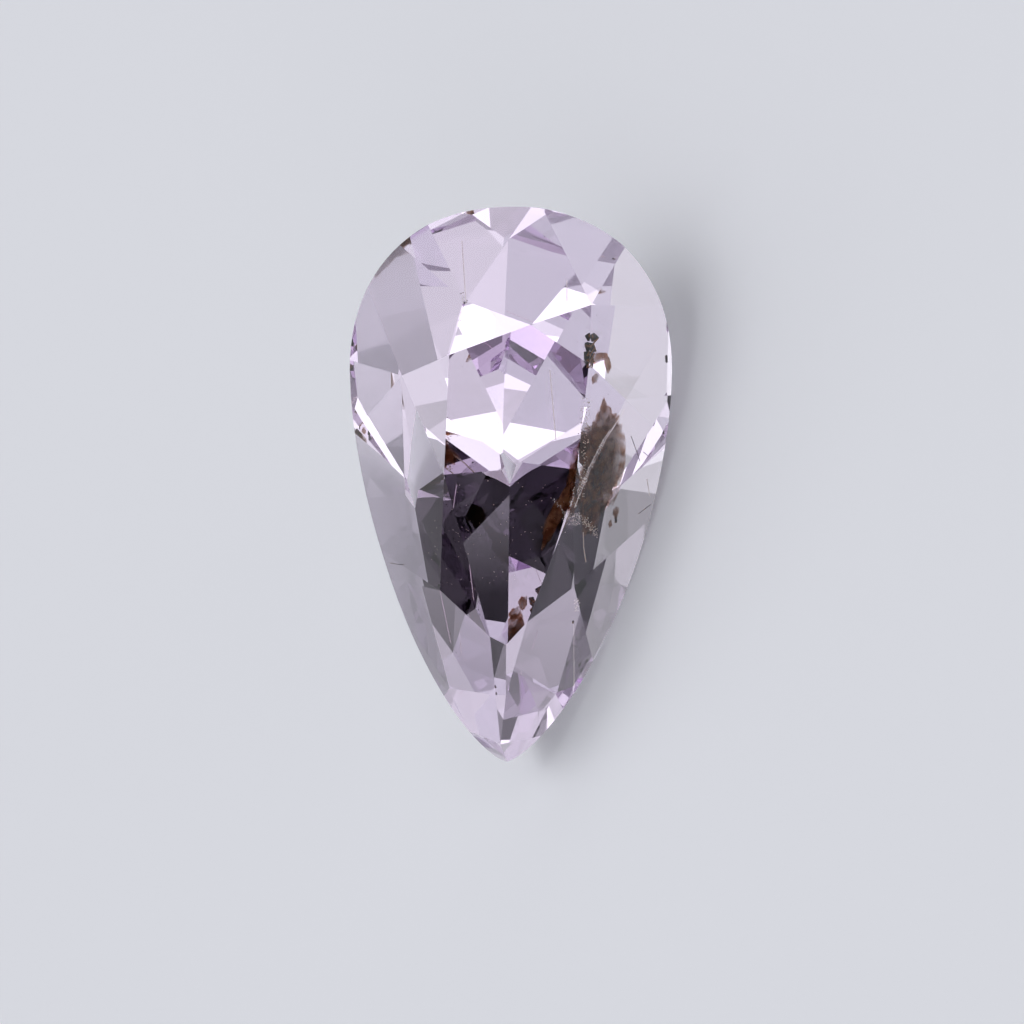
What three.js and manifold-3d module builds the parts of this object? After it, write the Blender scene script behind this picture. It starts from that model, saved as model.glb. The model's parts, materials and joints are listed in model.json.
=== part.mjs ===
// A pear-cut kunzite: a brilliant crown over a keeled pavilion, cut from one crystal.
//
// The stone is ground facet by facet from a pear-shaped prism, as on a lap, in the cutter's frame:
// the table faces +Z, the head of the pear points to +Y, and the girdle's upper edge is at z = 0.
// It is then laid on one broad flank facet of its pavilion, because it can't stand on its point.
// Units are millimetres and degrees. A bearing runs anticlockwise from +X, seen from the table.

import * as THREE from "three";
import { mergeVertices } from "three/addons/utils/BufferGeometryUtils.js";
import Module from "manifold-3d";

const wasm = await Module();
wasm.setup();

// Girdle outline: a superellipse round the head, and two flanks that bow out to a blunt point.
const WIDTH = 7.55;
const HEAD_LENGTH = 3.86;
const TAIL_LENGTH = 9.14;
const WIDEST_Y = 2.64;
const HEAD_FULLNESS = 2.2;
const FLANK_BOW = 1.7;
const POINT_BLUNTNESS = 0.7;
const POINT_SHIFT = -0.1;
const POINT_SHIFT_LENGTH = 4.7;
const HEAD_STEPS = 48;
const FLANK_STEPS = 28;

// Heights.
const CROWN_HEIGHT = 1.88;
const GIRDLE_THICKNESS = 0.35;
const CULET_DEPTH = 5;

// The crown's main facets: the table corner where each starts, its bearing and its angle.
const CROWN_MAINS = {
  head: { corner: [0.43, 3.55], bearing: 90, angle: 33.2 },
  leftShoulder: { corner: [-1.44, 2.85], bearing: 141.2, angle: 36.8 },
  leftSide: { corner: [-1.56, 0.07], bearing: -166.3, angle: 47.4 },
  leftTail: { corner: [-0.5, -3.64], bearing: -154.9, angle: 53 },
  rightTail: { corner: [0.36, -3.3], bearing: -32, angle: 48.4 },
  rightSide: { corner: [1.41, -0.56], bearing: -14.1, angle: 47.3 },
  rightShoulder: { corner: [1.78, 2.64], bearing: 11.4, angle: 43.3 },
};
const POINT_CORNER = [-0.13, -3.83];

// Where each star's tip lies, as a share of the crown's height, and the points of the girdle that
// the upper halves below it run between, each as its side of the stone and its height y.
const STARS = [
  { between: ["head", "leftShoulder"], tipHeight: 0.8, halves: [[1, 6.46], [-1, 6.06], [-1, 4.84]] },
  { between: ["leftShoulder", "leftSide"], tipHeight: 0.77, halves: [[-1, 4.82], [-1, 2.88], [-1, 0.65]] },
  { between: ["leftSide", "leftTail"], tipHeight: 0.59, halves: [[-1, -0.44], [-1, -4]] },
  { between: ["rightTail", "rightSide"], tipHeight: 0.71, halves: [[1, -4.7], [1, -0.21]] },
  { between: ["rightSide", "rightShoulder"], tipHeight: 0.65, halves: [[1, 0.07], [1, 2.06], [1, 3.97]] },
  { between: ["rightShoulder", "head"], tipHeight: 0.83, halves: [[1, 4], [1, 5.54], [1, 6.46]] },
];
const RIDGE_END = [-0.13, -4.99];
const POINT_BROW_HEIGHT = 0.42;
const POINT_BLUNTING_Y = -5.9;

// The pavilion's facets, each by its turn from the head and its angle, on the left and the right of
// the keel. The mains run down to the keel. Narrow, steeper breaks lie between them along the girdle.
const PAVILION_HEAD_ANGLE = 48.6;
const PAVILION_PAIRS = {
  headTip: { left: { turn: 8.6, angle: 55.5 }, right: { turn: 8.6, angle: 59.3 } },
  headBreak: { left: { turn: 15.2, angle: 58.3 }, right: { turn: 15.4, angle: 57.3 } },
  brow: { left: { turn: 29.5, angle: 41.1 }, right: { turn: 29.6, angle: 40.1 } },
  shoulder: { left: { turn: 42.8, angle: 42.2 }, right: { turn: 44.6, angle: 41.1 } },
  shoulderBreak: { left: { turn: 63.9, angle: 68.2 }, right: { turn: 63.5, angle: 69 } },
  side: { left: { turn: 88, angle: 59.6 }, right: { turn: 86, angle: 61.5 } },
  sideBreak: { left: { turn: 97.3, angle: 65.3 }, right: { turn: 97.1, angle: 64.8 } },
  flank: { left: { turn: 107, angle: 54 }, right: { turn: 108.8, angle: 53.6 } },
  flankBreak: { left: { turn: 110.7, angle: 57.6 }, right: { turn: 110.1, angle: 60.2 } },
  upperTail: { left: { turn: 115.1, angle: 58.3 }, right: { turn: 116.1, angle: 60.2 } },
  tailBreak: { left: { turn: 117.2, angle: 65.4 }, right: { turn: 120, angle: 64 } },
  tail: { left: { turn: 129, angle: 64.1 }, right: { turn: 128.2, angle: 63.5 } },
  tip: { left: { turn: 134.6, angle: 59.6 }, right: { turn: 134.5, angle: 57.9 } },
};

const RESTING_FACET = "flankRight";

const HEAD_BEARING = 90;
const UP = new THREE.Vector3(0, 0, 1);
const PAVILION_ROOM = 8;
const LAP_SIZE = 40;
const WELD_TOLERANCE = 1e-4;

// The outline's half width at height y.
function halfWidth(y) {
  if (y >= WIDEST_Y) {
    const rise = Math.min((y - WIDEST_Y) / HEAD_LENGTH, 1);
    return (WIDTH / 2) * (1 - rise ** HEAD_FULLNESS) ** (1 / HEAD_FULLNESS);
  }
  const fall = Math.min((WIDEST_Y - y) / TAIL_LENGTH, 1);
  return (WIDTH / 2) * (1 - fall ** FLANK_BOW) ** POINT_BLUNTNESS;
}

// A point on the girdle's upper edge: side is -1 on the left and 1 on the right.
function rimPoint(side, y) {
  const fromPoint = y - (WIDEST_Y - TAIL_LENGTH);
  const drift = POINT_SHIFT * Math.max(0, 1 - fromPoint / POINT_SHIFT_LENGTH);
  return new THREE.Vector3(drift + side * halfWidth(y), y, 0);
}

// The closed outline, anticlockwise from the right-hand widest point.
function outlinePoints() {
  const points = [];
  for (let i = 0; i <= HEAD_STEPS; i++) {
    const turn = (Math.PI * i) / HEAD_STEPS;
    const share = Math.abs(Math.cos(turn)) ** (2 / HEAD_FULLNESS);
    const rise = (1 - share ** HEAD_FULLNESS) ** (1 / HEAD_FULLNESS);
    points.push(rimPoint(Math.sign(Math.cos(turn)), WIDEST_Y + HEAD_LENGTH * rise));
  }
  for (const side of [-1, 1]) {
    for (let i = 1; i < FLANK_STEPS; i++) {
      const share = side < 0 ? i / FLANK_STEPS : 1 - i / FLANK_STEPS;
      points.push(rimPoint(side, WIDEST_Y - TAIL_LENGTH * share * (2 - share)));
    }
    if (side < 0) points.push(rimPoint(side, WIDEST_Y - TAIL_LENGTH));
  }
  return points;
}

// The least distance from the frame's axis that holds the whole outline on the given bearing.
function outlineReach(outline, bearing) {
  const turn = THREE.MathUtils.degToRad(bearing);
  const across = new THREE.Vector3(Math.cos(turn), Math.sin(turn), 0);
  return Math.max(...outline.map((point) => point.dot(across)));
}

// A facet's plane through a point, with its normal out of the stone: facing is 1 on the crown.
function facetPlane(point, bearing, angle, facing) {
  const turn = THREE.MathUtils.degToRad(bearing);
  const tilt = THREE.MathUtils.degToRad(angle);
  const normal = new THREE.Vector3(
    Math.cos(turn) * Math.sin(tilt),
    Math.sin(turn) * Math.sin(tilt),
    facing * Math.cos(tilt),
  );
  return new THREE.Plane().setFromNormalAndCoplanarPoint(normal, point);
}

// A crown facet's plane through three points.
function planeThrough(a, b, c) {
  const plane = new THREE.Plane().setFromCoplanarPoints(a, b, c);
  return plane.normal.z < 0 ? plane.negate() : plane;
}

// The height of a plane above the point (x, y).
function heightOn(plane, x, y) {
  return -(plane.constant + plane.normal.x * x + plane.normal.y * y) / plane.normal.z;
}

// The point at height z where two planes meet.
function meetingPoint(first, second, z) {
  const a = -first.constant - first.normal.z * z;
  const b = -second.constant - second.normal.z * z;
  const spread = first.normal.x * second.normal.y - second.normal.x * first.normal.y;
  return new THREE.Vector3(
    (a * second.normal.y - b * first.normal.y) / spread,
    (first.normal.x * b - second.normal.x * a) / spread,
    z,
  );
}

// The crown: the table, the mains, a star facet from each stretch of table edge down to the tip
// where it meets both mains, and the upper halves that fall from each star's tip to the girdle.
function crownFacets() {
  const mains = {};
  const corners = {};
  for (const [name, { corner, bearing, angle }] of Object.entries(CROWN_MAINS)) {
    corners[name] = new THREE.Vector3(...corner, CROWN_HEIGHT);
    mains[name] = facetPlane(corners[name], bearing, angle, 1);
  }
  const table = new THREE.Plane(new THREE.Vector3(0, 0, 1), -CROWN_HEIGHT);
  const facets = [table, ...Object.values(mains)];

  for (const { between: [one, other], tipHeight, halves } of STARS) {
    const tip = meetingPoint(mains[one], mains[other], tipHeight * CROWN_HEIGHT);
    facets.push(planeThrough(corners[one], corners[other], tip));
    for (let i = 1; i < halves.length; i++) {
      facets.push(planeThrough(tip, rimPoint(...halves[i - 1]), rimPoint(...halves[i])));
    }
  }

  // Two narrow facets run from the table's lowest corner to the point, with a ridge between them.
  const pointCorner = new THREE.Vector3(...POINT_CORNER, CROWN_HEIGHT);
  const ridgeEnd = new THREE.Vector3(...RIDGE_END, heightOn(mains.rightTail, ...RIDGE_END));
  facets.push(planeThrough(corners.leftTail, pointCorner, ridgeEnd));
  facets.push(planeThrough(pointCorner, corners.rightTail, ridgeEnd));

  // The point itself is blunted on both sides.
  const brow = meetingPoint(mains.leftTail, mains.rightTail, POINT_BROW_HEIGHT * CROWN_HEIGHT);
  for (const side of [-1, 1]) {
    const blunting = planeThrough(
      brow,
      rimPoint(side, POINT_BLUNTING_Y),
      rimPoint(side, WIDEST_Y - TAIL_LENGTH),
    );
    facets.push(blunting);
  }
  return facets;
}

// The pavilion: every facet starts at the girdle's lower edge where it touches the outline.
function pavilionFacets(outline) {
  const facetAt = (bearing, angle) => {
    const turn = THREE.MathUtils.degToRad(bearing);
    const reach = outlineReach(outline, bearing);
    const start = new THREE.Vector3(
      Math.cos(turn) * reach,
      Math.sin(turn) * reach,
      -GIRDLE_THICKNESS,
    );
    return facetPlane(start, bearing, angle, -1);
  };
  const facets = {
    head: facetAt(HEAD_BEARING, PAVILION_HEAD_ANGLE),
    culet: new THREE.Plane(UP.clone().negate(), -CULET_DEPTH),
  };
  for (const [name, { left, right }] of Object.entries(PAVILION_PAIRS)) {
    facets[`${name}Left`] = facetAt(HEAD_BEARING + left.turn, left.angle);
    facets[`${name}Right`] = facetAt(HEAD_BEARING - right.turn, right.angle);
  }
  return facets;
}

// A three.js geometry as a manifold-3d solid: only positions are kept, with shared vertices merged.
function solidOf(geometry) {
  const bare = geometry.clone();
  bare.deleteAttribute("normal");
  bare.deleteAttribute("uv");
  const merged = mergeVertices(bare, WELD_TOLERANCE);
  return new wasm.Manifold(
    new wasm.Mesh({
      numProp: 3,
      vertProperties: merged.attributes.position.array,
      triVerts: new Uint32Array(merged.index.array),
    }),
  );
}

// The stone with everything beyond a facet's plane ground away.
function grind(stone, facet) {
  const lap = new THREE.BoxGeometry(LAP_SIZE, LAP_SIZE, LAP_SIZE);
  lap.translate(0, 0, LAP_SIZE / 2);
  lap.applyQuaternion(new THREE.Quaternion().setFromUnitVectors(UP, facet.normal));
  const centre = facet.coplanarPoint(new THREE.Vector3());
  lap.translate(centre.x, centre.y, centre.z);
  return stone.subtract(solidOf(lap));
}

// The girdle's prism, ground to the finished stone.
function cutStone(facets, outline) {
  const shape = new THREE.Shape(outline.map((point) => new THREE.Vector2(point.x, point.y)));
  const rough = new THREE.ExtrudeGeometry(shape, {
    depth: CROWN_HEIGHT + PAVILION_ROOM,
    bevelEnabled: false,
  });
  rough.translate(0, 0, -PAVILION_ROOM);
  const { vertProperties, triVerts } = facets.reduce(grind, solidOf(rough)).getMesh();
  const geometry = new THREE.BufferGeometry();
  geometry.setAttribute("position", new THREE.BufferAttribute(vertProperties, 3));
  geometry.setIndex(new THREE.BufferAttribute(triVerts, 1));
  return geometry;
}

// Turns the stone so that a facet lies on the ground and the head points along +X.
function layOn(facet, geometry) {
  const facetDown = new THREE.Quaternion().setFromUnitVectors(facet.normal, UP.clone().negate());
  const head = new THREE.Vector3(0, 1, 0).applyQuaternion(facetDown);
  const headAlongX = new THREE.Quaternion().setFromAxisAngle(UP, -Math.atan2(head.y, head.x));
  const turn = headAlongX.multiply(facetDown);
  const box = new THREE.Box3().setFromBufferAttribute(
    geometry.clone().applyQuaternion(turn).attributes.position,
  );
  const rest = new THREE.Group();
  rest.quaternion.copy(turn);
  rest.position.set(-(box.min.x + box.max.x) / 2, -(box.min.y + box.max.y) / 2, -box.min.z);
  return rest;
}

const kunzite = new THREE.MeshStandardMaterial({
  color: 0xe4d7ec,
  roughness: 0.03,
  metalness: 0,
  transparent: true,
  opacity: 0.6,
  flatShading: true,
});

const outline = outlinePoints();
const pavilion = pavilionFacets(outline);
const geometry = cutStone([...crownFacets(), ...Object.values(pavilion)], outline);
geometry.computeVertexNormals();

const gem = new THREE.Mesh(geometry, kunzite);
gem.name = "kunzite_gem";

const rest = layOn(pavilion[RESTING_FACET], geometry);
rest.add(gem);

const root = new THREE.Group();
root.add(rest);

export default root;
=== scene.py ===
"""A loose kunzite in a pear cut, lying face up on a pale studio floor.

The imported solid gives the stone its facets. This script makes it a clear lilac crystal with fine
bright facet edges and a finely ground girdle, puts the flaws that it grew with inside it, and
lights it in a soft studio. Every flaw is placed by where it is seen from the camera, through the
facet above it, and by its depth below that facet.
"""

from __future__ import annotations

import json
import logging
import math
import random
from dataclasses import dataclass, field
from enum import Enum

import bmesh
import bpy
from mathutils import Matrix, Vector, noise
from mathutils.bvhtree import BVHTree

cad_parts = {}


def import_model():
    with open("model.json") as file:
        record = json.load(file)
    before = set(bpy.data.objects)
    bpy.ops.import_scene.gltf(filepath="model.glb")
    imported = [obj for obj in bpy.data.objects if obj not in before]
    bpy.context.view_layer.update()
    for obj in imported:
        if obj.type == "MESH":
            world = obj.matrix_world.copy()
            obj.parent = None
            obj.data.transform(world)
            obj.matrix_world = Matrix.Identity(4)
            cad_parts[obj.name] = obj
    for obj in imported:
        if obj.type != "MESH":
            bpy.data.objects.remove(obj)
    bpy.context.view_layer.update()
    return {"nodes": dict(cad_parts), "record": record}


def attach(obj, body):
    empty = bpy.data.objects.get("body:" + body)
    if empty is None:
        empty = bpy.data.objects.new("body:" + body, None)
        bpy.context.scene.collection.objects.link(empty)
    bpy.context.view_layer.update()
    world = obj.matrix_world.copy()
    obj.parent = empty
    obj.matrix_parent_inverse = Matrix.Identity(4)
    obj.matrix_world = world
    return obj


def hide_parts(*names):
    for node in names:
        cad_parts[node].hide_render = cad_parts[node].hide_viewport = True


LOG = logging.getLogger("kunzite")

MM = 0.001
STONE_NODE = "kunzite_gem"
STONE_BODY = "root"

# How high the table stands over the girdle's upper edge, in millimetres.
CROWN_HEIGHT = 1.88
KUNZITE_IOR = 1.67

# The curve that turns an sRGB value into a linear one.
SRGB_TOE = 0.04045
SRGB_TOE_SLOPE = 12.92
SRGB_LIFT = 0.055
SRGB_GAMMA = 2.4

# Sockets that share their names, and so are found by their numbers.
MIX_FIRST_VECTOR = 4
MIX_SECOND_VECTOR = 5
MIXED_VECTOR = 1
MIX_FIRST_COLOUR = 6
MIX_SECOND_COLOUR = 7
MIXED_COLOUR = 2
RANDOM_LEAST_VECTOR = 0
RANDOM_MOST_VECTOR = 1
RANDOM_LEAST_NUMBER = 2
RANDOM_MOST_NUMBER = 3
RANDOM_VECTOR = 0
RANDOM_NUMBER = 1


def linear(hex_colour: str) -> tuple[float, float, float, float]:
    """Turns an sRGB hex colour into the linear colour that Blender's sockets take.

    Args:
        hex_colour: The colour as six hex digits after a hash.

    Returns:
        The linear red, green and blue, and an alpha of 1.
    """
    channels = []
    for start in (1, 3, 5):
        value = int(hex_colour[start : start + 2], 16) / 255
        if value <= SRGB_TOE:
            channels.append(value / SRGB_TOE_SLOPE)
        else:
            channels.append(((value + SRGB_LIFT) / (1 + SRGB_LIFT)) ** SRGB_GAMMA)
    return (*channels, 1.0)


def add_node(
    tree: bpy.types.NodeTree,
    kind: str,
    settings: dict[str, object] | None = None,
    inputs: dict[str | int, object] | None = None,
) -> bpy.types.Node:
    """Adds a node with its settings, its values and its links.

    Args:
        tree: The tree that gets the node.
        kind: The node's type name.
        settings: The node's own properties by name.
        inputs: What each input gets, by the input's name or number: a value, or an output socket.

    Returns:
        The new node.
    """
    node = tree.nodes.new(kind)
    for name, value in (settings or {}).items():
        setattr(node, name, value)
    for key, value in (inputs or {}).items():
        if isinstance(value, bpy.types.NodeSocket):
            tree.links.new(value, node.inputs[key])
        else:
            node.inputs[key].default_value = value
    return node


def in_scene(name: str, data: bpy.types.Mesh | bpy.types.Camera) -> bpy.types.Object:
    """Makes an object of a mesh or a camera, and links it to the scene.

    Args:
        name: The object's name.
        data: The mesh or camera.

    Returns:
        The object.
    """
    made = bpy.data.objects.new(name, data)
    bpy.context.scene.collection.objects.link(made)
    return made


def new_material(name: str) -> tuple[bpy.types.Material, bpy.types.NodeTree]:
    """Makes an empty node material.

    Args:
        name: The material's name.

    Returns:
        The material and its node tree, cleared.
    """
    material = bpy.data.materials.new(name)
    material.use_nodes = True
    material.node_tree.nodes.clear()
    return material, material.node_tree


@dataclass(frozen=True)
class KunziteCrystal:
    """Kunzite, the lilac spodumene: polished facets, and a girdle left finely ground.

    The polish is a mirror one, so a facet is only seen by what it reflects and bends. The ground
    girdle scatters light and looks like frosted glass.
    """

    lilac: str = "#E6C8F0"
    absorption_per_metre: float = 40.0
    polished: float = 0.0
    ground: float = 0.32
    grit_size: float = 0.05 * MM
    grit_height: float = 0.004 * MM
    grit_strength: float = 0.25
    grit_detail: float = 2.0

    def material(self) -> bpy.types.Material:
        """Builds the crystal's material, for a mesh whose attribute 'ground' marks the girdle.

        Returns:
            The material.
        """
        material, tree = new_material("clear_kunzite_polished_and_ground")
        place = add_node(tree, "ShaderNodeTexCoord").outputs["Object"]
        ground = add_node(tree, "ShaderNodeAttribute", {"attribute_name": "ground"}).outputs["Fac"]
        grit = add_node(
            tree,
            "ShaderNodeTexNoise",
            inputs={
                "Vector": place,
                "Scale": 1 / self.grit_size,
                "Detail": self.grit_detail,
            },
        )
        roughness = add_node(
            tree,
            "ShaderNodeMapRange",
            inputs={"Value": ground, "To Min": self.polished, "To Max": self.ground},
        )
        bump = add_node(
            tree,
            "ShaderNodeBump",
            inputs={
                "Strength": self.grit_strength,
                "Distance": self.grit_height,
                "Height": grit.outputs["Fac"],
            },
        )
        relief = add_node(
            tree,
            "ShaderNodeMix",
            {"data_type": "VECTOR"},
            {
                "Factor": ground,
                MIX_FIRST_VECTOR: add_node(tree, "ShaderNodeNewGeometry").outputs["Normal"],
                MIX_SECOND_VECTOR: bump.outputs["Normal"],
            },
        )
        surface = add_node(
            tree,
            "ShaderNodeBsdfPrincipled",
            inputs={
                "Base Color": linear("#FFFFFF"),
                "IOR": KUNZITE_IOR,
                "Transmission Weight": 1.0,
                "Roughness": roughness.outputs["Result"],
                "Normal": relief.outputs[MIXED_VECTOR],
            },
        )
        inside = add_node(
            tree,
            "ShaderNodeVolumeAbsorption",
            inputs={"Color": linear(self.lilac), "Density": self.absorption_per_metre},
        )
        add_node(
            tree,
            "ShaderNodeOutputMaterial",
            inputs={"Surface": surface.outputs["BSDF"], "Volume": inside.outputs["Volume"]},
        )
        return material


class FlawLook(Enum):
    """What a flaw in the crystal is, as the eye meets it."""

    GLEAMING = "gleaming_fracture"
    MILKY = "milky_healed_fracture"
    DARK = "dark_etched_cavity"
    GOLDEN = "golden_rust_seam"
    RUSTY = "rusty_iron_stain"


@dataclass(frozen=True)
class GleamingFracture:
    """A thin gap in the crystal: its walls throw light back like a mirror, so it sparkles."""

    silver: str = "#FFF8F0"
    roughness: float = 0.18

    def material(self) -> bpy.types.Material:
        """Builds the fracture's material.

        Returns:
            The material.
        """
        material, tree = new_material(FlawLook.GLEAMING.value)
        surface = add_node(
            tree,
            "ShaderNodeBsdfPrincipled",
            inputs={
                "Base Color": linear(self.silver),
                "Metallic": 1.0,
                "Roughness": self.roughness,
            },
        )
        add_node(tree, "ShaderNodeOutputMaterial", inputs={"Surface": surface.outputs["BSDF"]})
        return material


@dataclass(frozen=True)
class PatchyMineral:
    """A dull mineral whose two colours lie in patches.

    The second colour starts where the patches' noise passes the lower end of the edge, and is
    whole past the upper end.
    """

    look: FlawLook
    first: str
    second: str
    patch_size: float
    roughness: float
    detail: float = 2.0
    edge: tuple[float, float] = (0.0, 1.0)

    def material(self) -> bpy.types.Material:
        """Builds the mineral's material.

        Returns:
            The material.
        """
        material, tree = new_material(self.look.value)
        place = add_node(tree, "ShaderNodeTexCoord").outputs["Object"]
        patches = add_node(
            tree,
            "ShaderNodeTexNoise",
            inputs={"Vector": place, "Scale": 1 / self.patch_size, "Detail": self.detail},
        )
        share = add_node(
            tree,
            "ShaderNodeMapRange",
            inputs={
                "Value": patches.outputs["Fac"],
                "From Min": self.edge[0],
                "From Max": self.edge[1],
            },
        )
        colour = add_node(
            tree,
            "ShaderNodeMix",
            {"data_type": "RGBA"},
            {
                "Factor": share.outputs["Result"],
                MIX_FIRST_COLOUR: linear(self.first),
                MIX_SECOND_COLOUR: linear(self.second),
            },
        )
        surface = add_node(
            tree,
            "ShaderNodeBsdfPrincipled",
            inputs={"Base Color": colour.outputs[MIXED_COLOUR], "Roughness": self.roughness},
        )
        add_node(tree, "ShaderNodeOutputMaterial", inputs={"Surface": surface.outputs["BSDF"]})
        return material


@dataclass(frozen=True)
class MilkyFracture(PatchyMineral):
    """A healed fracture: fine fluid specks along it look white and a little warm."""

    look: FlawLook = FlawLook.MILKY
    first: str = "#EDE6DF"
    second: str = "#D9B99A"
    patch_size: float = 0.12 * MM
    roughness: float = 0.45


@dataclass(frozen=True)
class EtchedCavity(PatchyMineral):
    """A pit that the crystal's own solutions ate: nearly black, with crumbs of rust in it."""

    look: FlawLook = FlawLook.DARK
    first: str = "#1B1310"
    second: str = "#8A5A2B"
    patch_size: float = 0.09 * MM
    roughness: float = 0.35
    detail: float = 3.0
    edge: tuple[float, float] = (0.52, 0.66)


@dataclass(frozen=True)
class RustSeam(PatchyMineral):
    """Limonite, the rust that fills an etched cavity's seams: dull, and a grainy golden brown."""

    look: FlawLook = FlawLook.GOLDEN
    first: str = "#A8713A"
    second: str = "#5E3A1E"
    patch_size: float = 0.04 * MM
    roughness: float = 0.4


@dataclass(frozen=True)
class IronStain:
    """Brown iron stain that has soaked into the crystal: a cloudy haze that glows rusty in light.

    The shader takes what is round a piece for air, so an index of 1 leaves the light unbent, as
    inside one crystal. The clouds lie where their noise is above the lower end of the edge, and
    are whole past the upper.
    """

    brown: str = "#A86F3C"
    absorption_per_metre: float = 5200.0
    rust: str = "#FFB27C"
    scattering_per_metre: float = 2600.0
    clear: str = "#FFFFFF"
    cloudy: str = "#A07254"
    cloud_size: float = 0.2 * MM
    cloud_detail: float = 4.0
    cloud_edge: tuple[float, float] = (0.4, 0.62)
    index: float = 1.0
    roughness: float = 0.0

    def material(self) -> bpy.types.Material:
        """Builds the stain's material.

        Returns:
            The material.
        """
        material, tree = new_material(FlawLook.RUSTY.value)
        place = add_node(tree, "ShaderNodeTexCoord").outputs["Object"]
        clouds = add_node(
            tree,
            "ShaderNodeTexNoise",
            inputs={
                "Vector": place,
                "Scale": 1 / self.cloud_size,
                "Detail": self.cloud_detail,
            },
        )
        share = add_node(
            tree,
            "ShaderNodeMapRange",
            inputs={
                "Value": clouds.outputs["Fac"],
                "From Min": self.cloud_edge[0],
                "From Max": self.cloud_edge[1],
            },
        )
        tint = add_node(
            tree,
            "ShaderNodeMix",
            {"data_type": "RGBA"},
            {
                "Factor": share.outputs["Result"],
                MIX_FIRST_COLOUR: linear(self.clear),
                MIX_SECOND_COLOUR: linear(self.cloudy),
            },
        )
        surface = add_node(
            tree,
            "ShaderNodeBsdfPrincipled",
            inputs={
                "Base Color": tint.outputs[MIXED_COLOUR],
                "IOR": self.index,
                "Transmission Weight": 1.0,
                "Roughness": self.roughness,
            },
        )
        darkness = add_node(
            tree,
            "ShaderNodeVolumeAbsorption",
            inputs={"Color": linear(self.brown), "Density": self.absorption_per_metre},
        )
        haze = add_node(
            tree,
            "ShaderNodeVolumeScatter",
            inputs={"Color": linear(self.rust), "Density": self.scattering_per_metre},
        )
        inside = add_node(
            tree,
            "ShaderNodeAddShader",
            inputs={0: darkness.outputs["Volume"], 1: haze.outputs["Volume"]},
        )
        add_node(
            tree,
            "ShaderNodeOutputMaterial",
            inputs={"Surface": surface.outputs["BSDF"], "Volume": inside.outputs["Shader"]},
        )
        return material


@dataclass(frozen=True)
class SeamlessPaper:
    """Matt pale grey studio paper: hardly any shine, and a tooth too fine to see."""

    grey: str = "#EDEEF1"
    roughness: float = 0.9
    shine: float = 0.2

    def material(self) -> bpy.types.Material:
        """Builds the paper's material.

        Returns:
            The material.
        """
        material, tree = new_material("pale_seamless_paper")
        surface = add_node(
            tree,
            "ShaderNodeBsdfPrincipled",
            inputs={
                "Base Color": linear(self.grey),
                "Roughness": self.roughness,
                "Specular IOR Level": self.shine,
            },
        )
        add_node(tree, "ShaderNodeOutputMaterial", inputs={"Surface": surface.outputs["BSDF"]})
        return material


@dataclass(frozen=True)
class StoneAxes:
    """The cutter's axes of the stone as it lies, from the girdle's centre."""

    centre: Vector
    right: Vector
    head: Vector
    face: Vector

    @classmethod
    def of_stone(cls, node: bpy.types.Object, table_axis: list[float]) -> StoneAxes:
        """Works the axes out from the solid and the direction its table faces.

        Args:
            node: The stone's solid, as packed.
            table_axis: The table's outward normal.

        Returns:
            The axes, with the head in the upright plane through +X.
        """
        face = Vector(table_axis).normalized()
        head = Vector((face.z, 0.0, -face.x)).normalized()
        right = head.cross(face)
        spans = []
        for axis in (right, head, face):
            reaches = [vertex.co.dot(axis) for vertex in node.data.vertices]
            spans.append((min(reaches), max(reaches)))
        centre = (
            right * (sum(spans[0]) / 2)
            + head * (sum(spans[1]) / 2)
            + face * (spans[2][1] - CROWN_HEIGHT * MM)
        )
        return cls(centre, right, head, face)

    def point(self, x: float, y: float, z: float) -> Vector:
        """Gives the place, in metres, of a point in millimetres along right, head and face."""
        return self.centre + (self.right * x + self.head * y + self.face * z) * MM

    def direction(self, x: float, y: float, z: float) -> Vector:
        """Gives the unit direction with these shares along right, head and face."""
        return (self.right * x + self.head * y + self.face * z).normalized()


@dataclass
class Stone:
    """The cut stone itself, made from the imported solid."""

    axes: StoneAxes
    edge_width: float = 0.026 * MM
    sharp_angle: float = math.radians(6)
    flat_angle: float = math.radians(0.3)
    weld: float = 0.002 * MM
    girdle_lean: float = math.sin(math.radians(3))

    def build(self, node: bpy.types.Object, material: bpy.types.Material) -> bpy.types.Object:
        """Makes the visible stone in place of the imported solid.

        Args:
            node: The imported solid.
            material: The crystal's material.

        Returns:
            The stone, with its facet edges slightly rounded and its girdle marked as ground.
        """
        mesh = bpy.data.meshes.new("pear_cut_stone")
        shape = bmesh.new()
        shape.from_mesh(node.data)
        bmesh.ops.remove_doubles(shape, verts=shape.verts, dist=self.weld)
        bmesh.ops.dissolve_limit(
            shape, angle_limit=self.flat_angle, verts=shape.verts, edges=shape.edges
        )
        sharp = [edge for edge in shape.edges if edge.calc_face_angle(0.0) > self.sharp_angle]
        bmesh.ops.bevel(
            shape,
            geom=sharp,
            offset=self.edge_width,
            offset_type="WIDTH",
            segments=1,
            affect="EDGES",
            clamp_overlap=True,
        )
        ground = shape.faces.layers.float.new("ground")
        for face in shape.faces:
            face[ground] = float(abs(face.normal.dot(self.axes.face)) < self.girdle_lean)
            face.smooth = False
        shape.to_mesh(mesh)
        shape.free()
        mesh.materials.append(material)
        return in_scene("pear_cut_stone", mesh)


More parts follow.
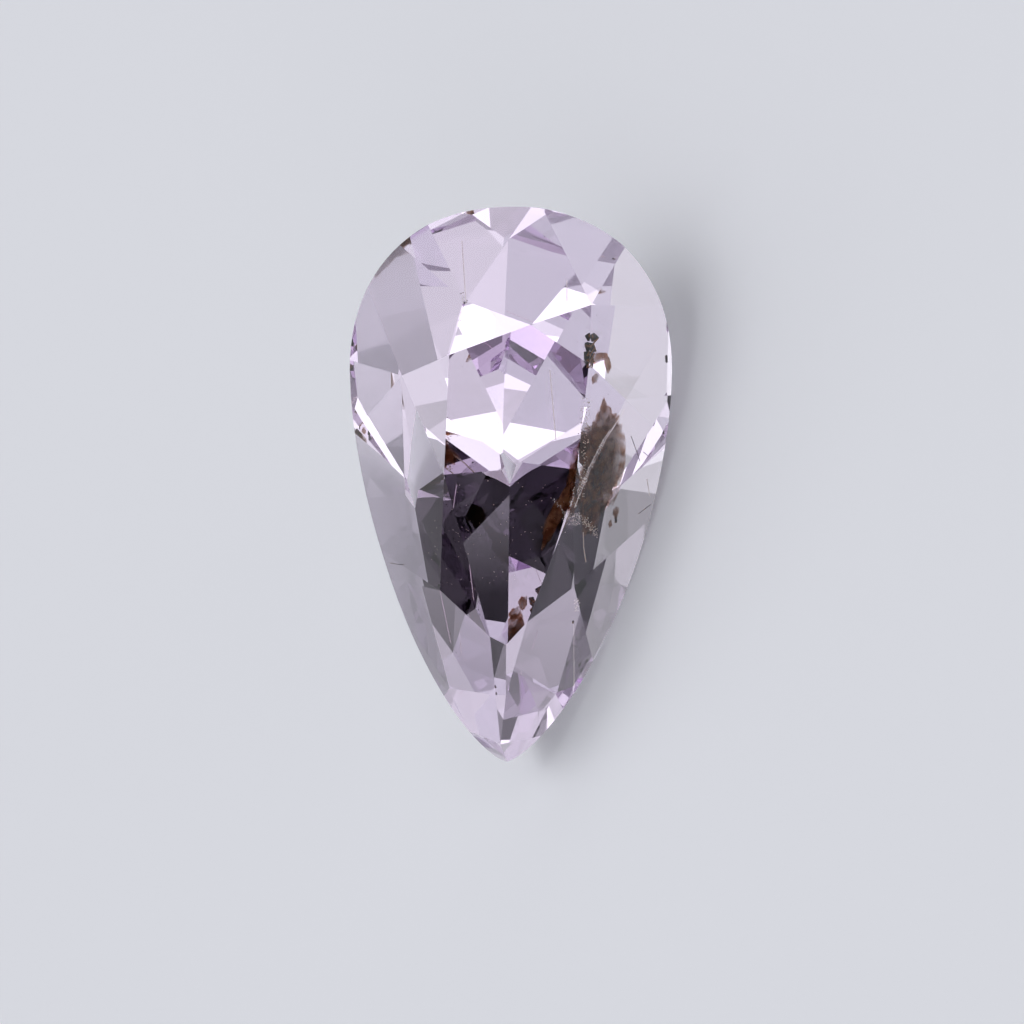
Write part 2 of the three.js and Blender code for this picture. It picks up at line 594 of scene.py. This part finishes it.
@dataclass(frozen=True)
class StudioCamera:
    """A macro camera that looks down on the stone's table, with the head at the top.

    The aim is the point of the girdle's plane in the middle of the view, and the lean is how far
    the view is off the table's normal, to the right and towards the head. Sizes are millimetres.
    """

    lens: float = 180.0
    sensor: float = 36.0
    nearest: float = 1.0
    farthest: float = 10000.0
    view_width: float = 23.94
    aim: tuple[float, float] = (0.023, -0.678)
    lean: tuple[float, float] = (0.009, 0.050)

    def looks(self, axes: StoneAxes) -> Vector:
        """Gives the direction that the camera looks in."""
        return axes.direction(*self.lean, -1.0)

    def place(self, axes: StoneAxes) -> Vector:
        """Gives where the camera stands."""
        distance = self.view_width * self.lens / self.sensor
        return axes.point(*self.aim, 0.0) - self.looks(axes) * distance * MM

    def build(self, axes: StoneAxes) -> None:
        """Makes the camera and sets it as the scene's.

        Args:
            axes: The stone's axes.
        """
        data = bpy.data.cameras.new("macro_camera")
        data.lens = self.lens
        data.sensor_width = self.sensor
        data.clip_start = self.nearest * MM
        data.clip_end = self.farthest * MM
        camera = in_scene("macro_camera", data)
        back = -self.looks(axes)
        up = (axes.head - back * axes.head.dot(back)).normalized()
        turn = Matrix((up.cross(back), up, back)).transposed().to_4x4()
        camera.matrix_world = Matrix.Translation(self.place(axes)) @ turn
        bpy.context.scene.camera = camera


@dataclass
class Sight:
    """Looks into the stone from the camera, as its facets bend the view."""

    axes: StoneAxes
    eye: Vector
    stone: bpy.types.Object
    faces: BVHTree = field(init=False)

    def __post_init__(self) -> None:
        """Prepares the stone's faces for sight lines."""
        shape = bmesh.new()
        shape.from_mesh(self.stone.data)
        self.faces = BVHTree.FromBMesh(shape)
        shape.free()

    def beneath(self, x: float, y: float, depth: float) -> Vector:
        """Finds the place that is seen at a point of the girdle's plane.

        Args:
            x: Millimetres to the right of the girdle's centre, as seen from the camera.
            y: Millimetres towards the head.
            depth: Millimetres below the facet that the sight line enters by.

        Returns:
            The place, in metres.
        """
        aim = self.axes.point(x, y, 0.0)
        towards = (aim - self.eye).normalized()
        entry, normal, _, _ = self.faces.ray_cast(self.eye, towards)
        if entry is None:
            return aim
        share = 1 / KUNZITE_IOR
        cosine = -towards.dot(normal)
        inner = math.sqrt(1 - share**2 * (1 - cosine**2))
        bent = towards * share + normal * (share * cosine - inner)
        return entry + bent * depth * MM


@dataclass(frozen=True)
class GrainTrail:
    """Small angular grains along a line: a crack, a column of specks or a cloud of pinpoints.

    The line's points are where it is seen. The scatter is how far a grain may lie off the line to
    the right, towards the head and towards the table. All sizes are in millimetres.
    """

    name: str
    look: FlawLook
    line: tuple[tuple[float, float], ...]
    grains: int
    scatter: tuple[float, float, float]
    sizes: tuple[float, float]
    seed: int
    depth: float = 0.35


@dataclass(frozen=True)
class Needle:
    """A hair-fine tube, needle or crack that tapers to both ends, with sizes in millimetres."""

    name: str
    look: FlawLook
    line: tuple[tuple[float, float], ...]
    radius: float
    depth: float = 0.35


@dataclass(frozen=True)
class Cavity:
    """An angular cavity or chip, with sizes in millimetres and its lean in degrees.

    Its reach is half its size across, along and deep. Its corners lie between the inset and the
    whole of that reach.
    """

    name: str
    middle: tuple[float, float]
    reach: tuple[float, float, float]
    seed: int
    lean: float = 0
    depth: float = 0.3
    corners: int = 16
    inset: float = 0.85
    look: FlawLook = FlawLook.DARK


@dataclass(frozen=True)
class Stain:
    """A lens of colour in the crystal, with sizes in millimetres and its lean in degrees.

    Its reach is half its size across, along and deep.
    """

    name: str
    middle: tuple[float, float]
    reach: tuple[float, float, float]
    seed: int
    lean: float = 0
    depth: float = 0.3
    look: FlawLook = FlawLook.RUSTY


@dataclass
class FlawMaker:
    """Makes each kind of flaw as closed meshes inside the stone.

    A grain's form is its least and greatest thickness along its own axes. A stain's skin swells
    and shrinks with two noises, broad lobes and fine rags, that each stain meets elsewhere.
    """

    sight: Sight
    axes: StoneAxes
    materials: dict[FlawLook, bpy.types.Material]
    grain_least: tuple[float, float, float] = (0.5, 0.5, 0.3)
    grain_most: tuple[float, float, float] = (1.0, 1.0, 0.6)
    needle_steps: int = 24
    needle_sides: int = 6
    needle_tip: float = 0.2
    stain_fineness: int = 4
    stain_unevenness: float = 0.5
    stain_lobes: float = 1.6
    stain_rags: float = 4.5
    stain_rag_share: float = 0.6
    stain_drift: tuple[float, float, float] = (1.0, 2.3, 3.7)
    grain_group: bpy.types.NodeTree = field(init=False)
    needle_group: bpy.types.NodeTree = field(init=False)

    def __post_init__(self) -> None:
        """Builds the node groups for grains and for needles."""
        self.grain_group = self.make_grain_group()
        self.needle_group = self.make_needle_group()

    @staticmethod
    def new_group(name: str, sockets: dict[str, str]) -> tuple[bpy.types.NodeTree, bpy.types.Node]:
        """Makes a geometry node group that takes a line and some named values.

        Args:
            name: The group's name.
            sockets: The type of each value's socket, by its name.

        Returns:
            The group and its input node.
        """
        group = bpy.data.node_groups.new(name, "GeometryNodeTree")
        for socket, kind in {"Line": "NodeSocketGeometry", **sockets}.items():
            group.interface.new_socket(socket, in_out="INPUT", socket_type=kind)
        group.interface.new_socket("Flaw", in_out="OUTPUT", socket_type="NodeSocketGeometry")
        return group, add_node(group, "NodeGroupInput")

    @staticmethod
    def end_group(
        group: bpy.types.NodeTree,
        shape: bpy.types.NodeSocket,
        material: bpy.types.NodeSocket,
    ) -> None:
        """Ends a group: real geometry, flat faces and the material.

        Args:
            group: The group.
            shape: The geometry that it made.
            material: The socket that gives the material.
        """
        real = add_node(group, "GeometryNodeRealizeInstances", inputs={"Geometry": shape})
        flat = add_node(
            group,
            "GeometryNodeSetShadeSmooth",
            inputs={"Geometry": real.outputs["Geometry"], "Shade Smooth": False},
        )
        dressed = add_node(
            group,
            "GeometryNodeSetMaterial",
            inputs={"Geometry": flat.outputs["Geometry"], "Material": material},
        )
        add_node(group, "NodeGroupOutput", inputs={"Flaw": dressed.outputs["Geometry"]})

    def make_grain_group(self) -> bpy.types.NodeTree:
        """Builds the group that strews angular grains about a line.

        Returns:
            The group, with the grains' number, spread, sizes, seed and material as its inputs.
        """
        group, given = self.new_group(
            "grains_about_a_line",
            {
                "Grains": "NodeSocketInt",
                "Across": "NodeSocketVector",
                "Along": "NodeSocketVector",
                "Deep": "NodeSocketVector",
                "Smallest": "NodeSocketFloat",
                "Largest": "NodeSocketFloat",
                "Seed": "NodeSocketInt",
                "Material": "NodeSocketMaterial",
            },
        )
        value = given.outputs
        curve = add_node(group, "GeometryNodeMeshToCurve", inputs={"Mesh": value["Line"]})
        places = add_node(
            group,
            "GeometryNodeResampleCurve",
            {"mode": "COUNT"},
            {"Curve": curve.outputs["Curve"], "Count": value["Grains"]},
        )
        ranges = {
            "place": ((-1.0, -1.0, -1.0), (1.0, 1.0, 1.0)),
            "form": (self.grain_least, self.grain_most),
            "turn": ((0.0, 0.0, 0.0), (math.tau, math.tau, math.tau)),
        }
        chance = {}
        for name, (least, most) in ranges.items():
            picked = add_node(
                group,
                "FunctionNodeRandomValue",
                {"data_type": "FLOAT_VECTOR"},
                {RANDOM_LEAST_VECTOR: least, RANDOM_MOST_VECTOR: most, "Seed": value["Seed"]},
            )
            chance[name] = picked.outputs[RANDOM_VECTOR]
        shares = add_node(group, "ShaderNodeSeparateXYZ", inputs={"Vector": chance["place"]})
        strewn = places.outputs["Curve"]
        for axis, spread in (("X", "Across"), ("Y", "Along"), ("Z", "Deep")):
            offset = add_node(
                group,
                "ShaderNodeVectorMath",
                {"operation": "SCALE"},
                {0: value[spread], "Scale": shares.outputs[axis]},
            )
            strewn = add_node(
                group,
                "GeometryNodeSetPosition",
                inputs={"Geometry": strewn, "Offset": offset.outputs["Vector"]},
            ).outputs["Geometry"]
        size = add_node(
            group,
            "FunctionNodeRandomValue",
            {"data_type": "FLOAT"},
            {
                RANDOM_LEAST_NUMBER: value["Smallest"],
                RANDOM_MOST_NUMBER: value["Largest"],
                "Seed": value["Seed"],
            },
        )
        scale = add_node(
            group,
            "ShaderNodeVectorMath",
            {"operation": "SCALE"},
            {0: chance["form"], "Scale": size.outputs[RANDOM_NUMBER]},
        )
        grain = add_node(
            group,
            "GeometryNodeMeshIcoSphere",
            inputs={"Radius": 1.0, "Subdivisions": 1},
        )
        placed = add_node(
            group,
            "GeometryNodeInstanceOnPoints",
            inputs={
                "Points": strewn,
                "Instance": grain.outputs["Mesh"],
                "Rotation": chance["turn"],
                "Scale": scale.outputs["Vector"],
            },
        )
        self.end_group(group, placed.outputs["Instances"], value["Material"])
        return group

    def make_needle_group(self) -> bpy.types.NodeTree:
        """Builds the group that draws a needle along a line.

        Returns:
            The group, with the needle's radius, taper and material as its inputs.
        """
        group, given = self.new_group(
            "needle_along_a_line",
            {
                "Radius": "NodeSocketFloat",
                "Tip": "NodeSocketFloat",
                "Material": "NodeSocketMaterial",
            },
        )
        value = given.outputs
        curve = add_node(group, "GeometryNodeMeshToCurve", inputs={"Mesh": value["Line"]})
        fine = add_node(
            group,
            "GeometryNodeResampleCurve",
            {"mode": "COUNT"},
            {"Curve": curve.outputs["Curve"], "Count": self.needle_steps},
        )
        along = add_node(group, "GeometryNodeSplineParameter")
        half_turn = add_node(
            group,
            "ShaderNodeMath",
            {"operation": "MULTIPLY"},
            {0: along.outputs["Factor"], 1: math.pi},
        )
        swell = add_node(
            group,
            "ShaderNodeMath",
            {"operation": "SINE"},
            {0: half_turn.outputs["Value"]},
        )
        taper = add_node(
            group,
            "ShaderNodeMapRange",
            inputs={"Value": swell.outputs["Value"], "To Min": value["Tip"], "To Max": 1.0},
        )
        tapered = add_node(
            group,
            "GeometryNodeSetCurveRadius",
            inputs={"Curve": fine.outputs["Curve"], "Radius": taper.outputs["Result"]},
        )
        section = add_node(
            group,
            "GeometryNodeCurvePrimitiveCircle",
            {"mode": "RADIUS"},
            {"Resolution": self.needle_sides, "Radius": value["Radius"]},
        )
        tube = add_node(
            group,
            "GeometryNodeCurveToMesh",
            inputs={
                "Curve": tapered.outputs["Curve"],
                "Profile Curve": section.outputs["Curve"],
                "Fill Caps": True,
            },
        )
        self.end_group(group, tube.outputs["Mesh"], value["Material"])
        return group

    def grow(
        self,
        name: str,
        group: bpy.types.NodeTree,
        line: tuple[tuple[float, float], ...],
        depth: float,
        values: dict[str, object],
    ) -> bpy.types.Object:
        """Runs a node group along a seen line and keeps what it makes as a plain mesh.

        Args:
            name: The flaw's name.
            group: The node group.
            line: Where the line is seen.
            depth: Millimetres below the facets above it.
            values: What the group's inputs get, by name.

        Returns:
            The flaw.
        """
        path = bpy.data.meshes.new(f"{name}_line")
        places = [self.sight.beneath(x, y, depth) for x, y in line]
        path.from_pydata(places, [(i, i + 1) for i in range(len(places) - 1)], [])
        guide = in_scene(f"{name}_line", path)
        modifier = guide.modifiers.new(group.name, "NODES")
        modifier.node_group = group
        for item in group.interface.items_tree:
            if item.in_out == "INPUT" and item.name in values:
                modifier[item.identifier] = values[item.name]
        shown = guide.evaluated_get(bpy.context.evaluated_depsgraph_get())
        mesh = bpy.data.meshes.new_from_object(shown)
        mesh.name = name
        bpy.data.objects.remove(guide)
        bpy.data.meshes.remove(path)
        return in_scene(name, mesh)

    def grains(self, trail: GrainTrail) -> bpy.types.Object:
        """Makes a trail of grains.

        Args:
            trail: Where the grains lie, and how many and how large they are.

        Returns:
            The grains, as one piece.
        """
        across, along, deep = trail.scatter
        values: dict[str, object] = {
            "Grains": trail.grains,
            "Across": self.axes.right * across * MM,
            "Along": self.axes.head * along * MM,
            "Deep": self.axes.face * deep * MM,
            "Smallest": trail.sizes[0] * MM,
            "Largest": trail.sizes[1] * MM,
            "Seed": trail.seed,
            "Material": self.materials[trail.look],
        }
        return self.grow(trail.name, self.grain_group, trail.line, trail.depth, values)

    def needle(self, needle: Needle) -> bpy.types.Object:
        """Makes a needle.

        Args:
            needle: Where it lies and how thick it is.

        Returns:
            The needle.
        """
        values: dict[str, object] = {
            "Radius": needle.radius * MM,
            "Tip": self.needle_tip,
            "Material": self.materials[needle.look],
        }
        return self.grow(needle.name, self.needle_group, needle.line, needle.depth, values)

    def placing(self, flaw: Cavity | Stain) -> Matrix:
        """Gives the matrix that takes a unit shape to a cavity's or a stain's place and size.

        Args:
            flaw: The cavity or stain.

        Returns:
            The matrix.
        """
        middle = self.sight.beneath(*flaw.middle, flaw.depth)
        own = Matrix((self.axes.right, self.axes.head, self.axes.face)).transposed().to_4x4()
        lean = Matrix.Rotation(math.radians(flaw.lean), 4, "Z")
        size = Matrix.Diagonal([half * MM for half in flaw.reach]).to_4x4()
        return Matrix.Translation(middle) @ own @ lean @ size

    def finish(self, flaw: Cavity | Stain, shape: bmesh.types.BMesh) -> bpy.types.Object:
        """Puts a unit shape in its place and gives it its material.

        Args:
            flaw: What it is.
            shape: The shape, which is freed.

        Returns:
            The flaw.
        """
        bmesh.ops.recalc_face_normals(shape, faces=shape.faces)
        shape.transform(self.placing(flaw))
        mesh = bpy.data.meshes.new(flaw.name)
        shape.to_mesh(mesh)
        shape.free()
        mesh.materials.append(self.materials[flaw.look])
        return in_scene(flaw.name, mesh)

    def cavity(self, cavity: Cavity) -> bpy.types.Object:
        """Makes an angular cavity: the hull of chance points on a box's skin.

        Args:
            cavity: Where it lies, its size and its seed.

        Returns:
            The cavity.
        """
        chance = random.Random(cavity.seed)
        shape = bmesh.new()
        for _ in range(cavity.corners):
            corner = Vector([chance.uniform(-1, 1) for _ in range(3)])
            corner /= max(abs(value) for value in corner)
            shape.verts.new(corner * chance.uniform(cavity.inset, 1.0))
        hull = bmesh.ops.convex_hull(shape, input=shape.verts)
        bmesh.ops.delete(shape, geom=hull["geom_interior"], context="VERTS")
        return self.finish(cavity, shape)

    def stain(self, stain: Stain) -> bpy.types.Object:
        """Makes a stain: a lens with a lobed and ragged skin.

        Args:
            stain: Where it lies, its size and its seed.

        Returns:
            The stain.
        """
        shape = bmesh.new()
        bmesh.ops.create_icosphere(shape, subdivisions=self.stain_fineness, radius=1.0)
        drift = Vector([step * stain.seed for step in self.stain_drift])
        for vertex in shape.verts:
            lobes = noise.noise(vertex.co * self.stain_lobes + drift)
            rags = noise.noise(vertex.co * self.stain_rags - drift)
            vertex.co *= 1.0 + self.stain_unevenness * (lobes + self.stain_rag_share * rags)
        piece = self.finish(stain, shape)
        for face in piece.data.polygons:
            face.use_smooth = True
        return piece


@dataclass(frozen=True)
class CrystalFlaws:
    """Everything that the crystal grew or broke inside it, by where it is seen."""

    trails: tuple[GrainTrail, ...] = (
        GrainTrail(
            "pinpoints_in_the_body",
            FlawLook.MILKY,
            line=((-1.9, -1.2), (1.3, -1.2)),
            grains=90,
            scatter=(0.2, 1.2, 0.2),
            sizes=(0.007, 0.016),
            seed=3,
        ),
        GrainTrail(
            "column_of_healed_specks",
            FlawLook.MILKY,
            line=((1.7, 1.98), (1.74, 1.0), (1.72, 0.3), (1.62, -0.35)),
            grains=90,
            scatter=(0.08, 0.05, 0.1),
            sizes=(0.012, 0.03),
            seed=7,
        ),
        GrainTrail(
            "crack_down_the_right_flank",
            FlawLook.GLEAMING,
            line=((2.2, 1.0), (1.89, 0.4), (1.62, -0.16), (1.38, -0.55)),
            grains=110,
            scatter=(0.035, 0.02, 0.05),
            sizes=(0.008, 0.025),
            seed=11,
        ),
        GrainTrail(
            "dark_specks_beside_the_column",
            FlawLook.DARK,
            line=((1.6, 1.1), (1.64, 0.3), (1.5, -0.35)),
            grains=44,
            scatter=(0.07, 0.05, 0.1),
            sizes=(0.009, 0.022),
            seed=13,
        ),
        GrainTrail(
            "golden_glints_on_the_crack",
            FlawLook.GOLDEN,
            line=((2.2, 0.98), (1.92, 0.45), (1.7, 0.0)),
            grains=26,
            scatter=(0.03, 0.03, 0.04),
            sizes=(0.012, 0.026),
            seed=14,
        ),
        GrainTrail(
            "bright_knot_on_the_crack",
            FlawLook.GLEAMING,
            line=((1.76, 0.09), (1.69, -0.08)),
            grains=22,
            scatter=(0.03, 0.02, 0.04),
            sizes=(0.018, 0.036),
            seed=12,
        ),
        GrainTrail(
            "chain_of_flecks",
            FlawLook.GLEAMING,
            line=((1.0, -0.4), (1.17, -0.56), (1.23, -0.68)),
            grains=18,
            scatter=(0.03, 0.03, 0.04),
            sizes=(0.01, 0.024),
            seed=19,
        ),
        GrainTrail(
            "crumbly_healed_patch",
            FlawLook.GLEAMING,
            line=((1.32, -0.85), (1.62, -0.85)),
            grains=120,
            scatter=(0.03, 0.15, 0.08),
            sizes=(0.009, 0.022),
            seed=23,
        ),
        GrainTrail(
            "chalky_healed_patch",
            FlawLook.MILKY,
            line=((1.66, -0.82), (2.0, -1.18)),
            grains=110,
            scatter=(0.08, 0.1, 0.08),
            sizes=(0.012, 0.03),
            seed=29,
        ),
        GrainTrail(
            "crackle_in_the_tail",
            FlawLook.GLEAMING,
            line=((1.5, -2.72), (1.56, -2.98)),
            grains=46,
            scatter=(0.06, 0.05, 0.06),
            sizes=(0.01, 0.028),
            seed=31,
        ),
        GrainTrail(
            "beads_in_the_growth_tube",
            FlawLook.DARK,
            line=((-1.12, 4.45), (-1.1, 4.25), (-1.19, 3.79)),
            grains=7,
            scatter=(0.01, 0.03, 0.02),
            sizes=(0.012, 0.028),
            seed=37,
        ),
    )
    needles: tuple[Needle, ...] = (
        Needle("growth_tube", FlawLook.GLEAMING, ((-1.15, 5.68), (-1.12, 4.21)), 0.011),
        Needle(
            "needle_by_the_ridge",
            FlawLook.GLEAMING,
            line=((0.91, 2.64), (0.98, 1.82), (1.05, 1.01)),
            radius=0.01,
        ),
        Needle("short_needle", FlawLook.GLEAMING, ((1.31, 4.75), (1.31, 4.28)), 0.009),
        Needle(
            "thread_of_the_crack",
            FlawLook.GLEAMING,
            line=((2.67, 1.73), (2.2, 1.0), (1.89, 0.4), (1.38, -0.55)),
            radius=0.011,
        ),
        Needle(
            "upright_crack",
            FlawLook.MILKY,
            line=((1.69, -1.15), (1.7, -1.5), (1.75, -1.85)),
            radius=0.015,
        ),
        Needle("hair_in_the_tail", FlawLook.GLEAMING, ((1.47, -3.3), (1.47, -4.75)), 0.008),
        Needle("hairline_on_the_left", FlawLook.DARK, ((-2.83, -1.87), (-2.5, -1.91)), 0.008),
        Needle(
            "hairline_on_the_right",
            FlawLook.DARK,
            line=((2.81, 1.1), (2.92, 0.8), (3.02, 0.5)),
            radius=0.01,
        ),
        Needle("hairline_by_the_girdle", FlawLook.DARK, ((2.98, -0.72), (3.27, -0.5)), 0.009),
        Needle(
            "bright_line_by_the_girdle",
            FlawLook.GLEAMING,
            line=((3.18, 0.1), (3.24, -0.3)),
            radius=0.012,
        ),
        Needle("first_rusty_seam", FlawLook.GOLDEN, ((1.81, 3.2), (2.02, 3.38)), 0.02, depth=0.2),
        Needle("second_rusty_seam", FlawLook.GOLDEN, ((1.8, 3.02), (1.97, 3.19)), 0.016, depth=0.2),
        Needle("third_rusty_seam", FlawLook.GOLDEN, ((1.81, 2.85), (1.95, 3.05)), 0.018, depth=0.2),
        Needle("fourth_rusty_seam", FlawLook.GOLDEN, ((1.82, 2.7), (1.94, 2.9)), 0.016, depth=0.2),
    )
    cavities: tuple[Cavity, ...] = (
        Cavity("etched_cavity_top", (1.95, 3.42), (0.13, 0.1, 0.05), 41, lean=25),
        Cavity("etched_cavity_middle", (1.9, 3.18), (0.1, 0.13, 0.05), 42, lean=20),
        Cavity("etched_cavity_foot", (1.87, 2.9), (0.08, 0.2, 0.05), 43, lean=4),
        Cavity("dark_chip_by_the_girdle", (3.64, 2.92), (0.04, 0.1, 0.04), 44, lean=5, depth=0.1),
        Cavity("small_chip_by_the_girdle", (3.57, 1.19), (0.02, 0.05, 0.03), 45, depth=0.1),
        Cavity("black_grain", (-1.68, -2.38), (0.03, 0.03, 0.02), 46),
        Cavity("black_grain_in_the_tail", (1.45, -3.25), (0.03, 0.04, 0.02), 47),
        Cavity("grey_grain_in_the_flank", (2.45, -0.84), (0.045, 0.1, 0.02), 48, lean=8),
    )
    stains: tuple[Stain, ...] = (
        Stain("rust_by_the_cavity", (2.26, 2.82), (0.08, 0.2, 0.12), 1, lean=5),
        Stain("rust_under_the_cavity", (1.97, 2.46), (0.07, 0.13, 0.1), 5, lean=-20),
        Stain("rust_in_the_flank", (2.12, 0.25), (0.5, 1.35, 0.25), 2, lean=-8, depth=0.6),
        Stain("dark_heart_of_the_rust", (1.95, 0.0), (0.3, 0.8, 0.18), 8, lean=-16, depth=0.6),
        Stain("dusky_blot_in_the_flank", (2.45, -0.68), (0.08, 0.14, 0.1), 6),
        Stain("small_blot_in_the_flank", (2.32, -0.95), (0.05, 0.08, 0.06), 9),
        Stain("rust_beside_the_keel", (1.07, -0.7), (0.17, 0.66, 0.14), 3, lean=-26, depth=0.6),
    )

    def build(self, maker: FlawMaker) -> list[bpy.types.Object]:
        """Makes every flaw.

        Args:
            maker: What makes them.

        Returns:
            The flaws.
        """
        flaws = [maker.grains(trail) for trail in self.trails]
        flaws += [maker.needle(needle) for needle in self.needles]
        flaws += [maker.cavity(cavity) for cavity in self.cavities]
        flaws += [maker.stain(stain) for stain in self.stains]
        for flaw in flaws:
            LOG.info("flaw %s: %d faces", flaw.name, len(flaw.data.polygons))
        return flaws


@dataclass(frozen=True)
class TentPatch:
    """One round patch of the light tent, with a soft edge.

    Azimuth and elevation say where its middle is, from +X towards +Y and up, and the radius how
    wide it is, all in degrees. The glow is what it adds to the tent's own.
    """

    name: str
    azimuth: float
    elevation: float
    radius: float
    glow: float
    edge_share: float = 0.45

    def towards(self) -> tuple[float, float, float]:
        """Works out where the patch's middle is.

        Returns:
            The unit direction from the stone to it.
        """
        turn = math.radians(self.azimuth)
        rise = math.radians(self.elevation)
        return (math.cos(turn) * math.cos(rise), math.sin(turn) * math.cos(rise), math.sin(rise))

    def nearness(self, share: float) -> float:
        """Gives the cosine of the angle from the patch's middle to a place in its soft edge.

        Args:
            share: The place in the edge: -1 is its inner end, and 1 its outer end.

        Returns:
            The cosine of the angle.
        """
        return math.cos(math.radians(self.radius * (1.0 + share * self.edge_share)))


@dataclass
class Studio:
    """The pale floor, the light tent round it and the way it is rendered.

    The stone's head lies towards azimuth 0 and its point towards 180, the camera looks from about
    260, and what is behind the stone is towards 80. The floor's sizes are in millimetres.
    """

    floor_size: float = 1200.0
    floor_gap: float = 0.02
    exposure_stops: float = 0.1
    tent: str = "#F9FAFF"
    tent_glow: float = 0.71
    softboxes: tuple[TentPatch, ...] = (
        TentPatch("high_light_behind", 110, 55, 25, 0.4),
        TentPatch("light_overhead", 165, 80, 20, 1.2),
        TentPatch("low_light_past_the_point", 195, 5, 15, 0.3),
        TentPatch("low_light_before_the_point", 215, 10, 10, 0.4),
        TentPatch("light_on_the_point_side", 230, 20, 15, 0.9),
        TentPatch("key_light", 295, 45, 5, 2.0),
        TentPatch("fill_beside_the_key_light", 315, 45, 10, 0.8),
    )
    dark_cards: tuple[TentPatch, ...] = (
        TentPatch("card_past_the_head", 15, 20, 20, -0.3),
        TentPatch("card_behind_the_head", 55, 25, 30, -0.4),
        TentPatch("small_card_in_the_light_behind", 125, 45, 5, -1.7),
        TentPatch("dark_camera", 255, 35, 20, -0.7),
        TentPatch("card_below_the_fill", 320, 30, 20, -0.9),
        TentPatch("card_above_the_fill", 335, 65, 10, -0.6),
        TentPatch("card_beside_the_fill", 340, 50, 10, -0.8),
        TentPatch("low_card_past_the_head", 345, 0, 15, -0.5),
    )

    def lay_floor(self, material: bpy.types.Material) -> bpy.types.Object:
        """Lays the studio floor, a hair below the stone so that no two faces share a plane.

        Args:
            material: The floor's material.

        Returns:
            The floor.
        """
        half = self.floor_size * MM / 2
        low = -self.floor_gap * MM
        mesh = bpy.data.meshes.new("studio_floor")
        corners = [(-half, -half, low), (half, -half, low), (half, half, low), (-half, half, low)]
        mesh.from_pydata(corners, [], [(0, 1, 2, 3)])
        mesh.materials.append(material)
        return in_scene("studio_floor", mesh)

    def hang_tent(self) -> None:
        """Makes the light tent: an even glow, softboxes that add to it and cards that dim it."""
        world = bpy.data.worlds.new("light_tent")
        bpy.context.scene.world = world
        world.use_nodes = True
        tree = world.node_tree
        tree.nodes.clear()
        direction = add_node(tree, "ShaderNodeTexCoord").outputs["Generated"]
        glow = self.tent_glow
        for patch in self.softboxes + self.dark_cards:
            nearness = add_node(
                tree,
                "ShaderNodeVectorMath",
                {"operation": "DOT_PRODUCT", "label": patch.name},
                {0: direction, 1: patch.towards()},
            )
            share = add_node(
                tree,
                "ShaderNodeMapRange",
                {"interpolation_type": "SMOOTHSTEP"},
                {
                    "Value": nearness.outputs["Value"],
                    "From Min": patch.nearness(1.0),
                    "From Max": patch.nearness(-1.0),
                    "To Max": patch.glow,
                },
            )
            total = add_node(
                tree,
                "ShaderNodeMath",
                {"operation": "ADD"},
                {0: glow, 1: share.outputs["Result"]},
            )
            glow = total.outputs["Value"]
        no_less_than_dark = add_node(
            tree,
            "ShaderNodeMath",
            {"operation": "MAXIMUM"},
            {0: glow, 1: 0.0},
        )
        tent = add_node(
            tree,
            "ShaderNodeBackground",
            inputs={"Color": linear(self.tent), "Strength": no_less_than_dark.outputs["Value"]},
        )
        add_node(tree, "ShaderNodeOutputWorld", inputs={"Surface": tent.outputs["Background"]})

    def set_rendering(self) -> None:
        """Sets how light is followed through the stone, and a plain view transform."""
        scene = bpy.context.scene
        scene.cycles.max_bounces = 40
        scene.cycles.transmission_bounces = 40
        scene.cycles.glossy_bounces = 16
        scene.cycles.diffuse_bounces = 4
        scene.cycles.volume_bounces = 2
        scene.cycles.transparent_max_bounces = 16
        scene.cycles.caustics_refractive = True
        scene.cycles.caustics_reflective = True
        scene.view_settings.view_transform = "Standard"
        scene.view_settings.look = "None"
        scene.view_settings.exposure = self.exposure_stops


def main() -> None:
    """Builds the stone, what is inside it and the studio round it."""
    logging.basicConfig(level=logging.INFO, format="%(name)s: %(message)s")
    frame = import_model()
    node = frame["nodes"][STONE_NODE]
    table = next(mount for mount in frame["record"]["mounts"] if mount["name"] == "table")
    axes = StoneAxes.of_stone(node, table["axis"])

    stone = Stone(axes).build(node, KunziteCrystal().material())
    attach(stone, STONE_BODY)
    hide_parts(STONE_NODE)
    LOG.info("stone: %d faces", len(stone.data.polygons))

    camera = StudioCamera()
    sight = Sight(axes, camera.place(axes), stone)
    materials = {
        FlawLook.GLEAMING: GleamingFracture().material(),
        FlawLook.MILKY: MilkyFracture().material(),
        FlawLook.DARK: EtchedCavity().material(),
        FlawLook.GOLDEN: RustSeam().material(),
        FlawLook.RUSTY: IronStain().material(),
    }
    for flaw in CrystalFlaws().build(FlawMaker(sight, axes, materials)):
        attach(flaw, STONE_BODY)

    studio = Studio()
    studio.lay_floor(SeamlessPaper().material())
    studio.hang_tent()
    studio.set_rendering()
    camera.build(axes)


if __name__ == "__main__":
    main()
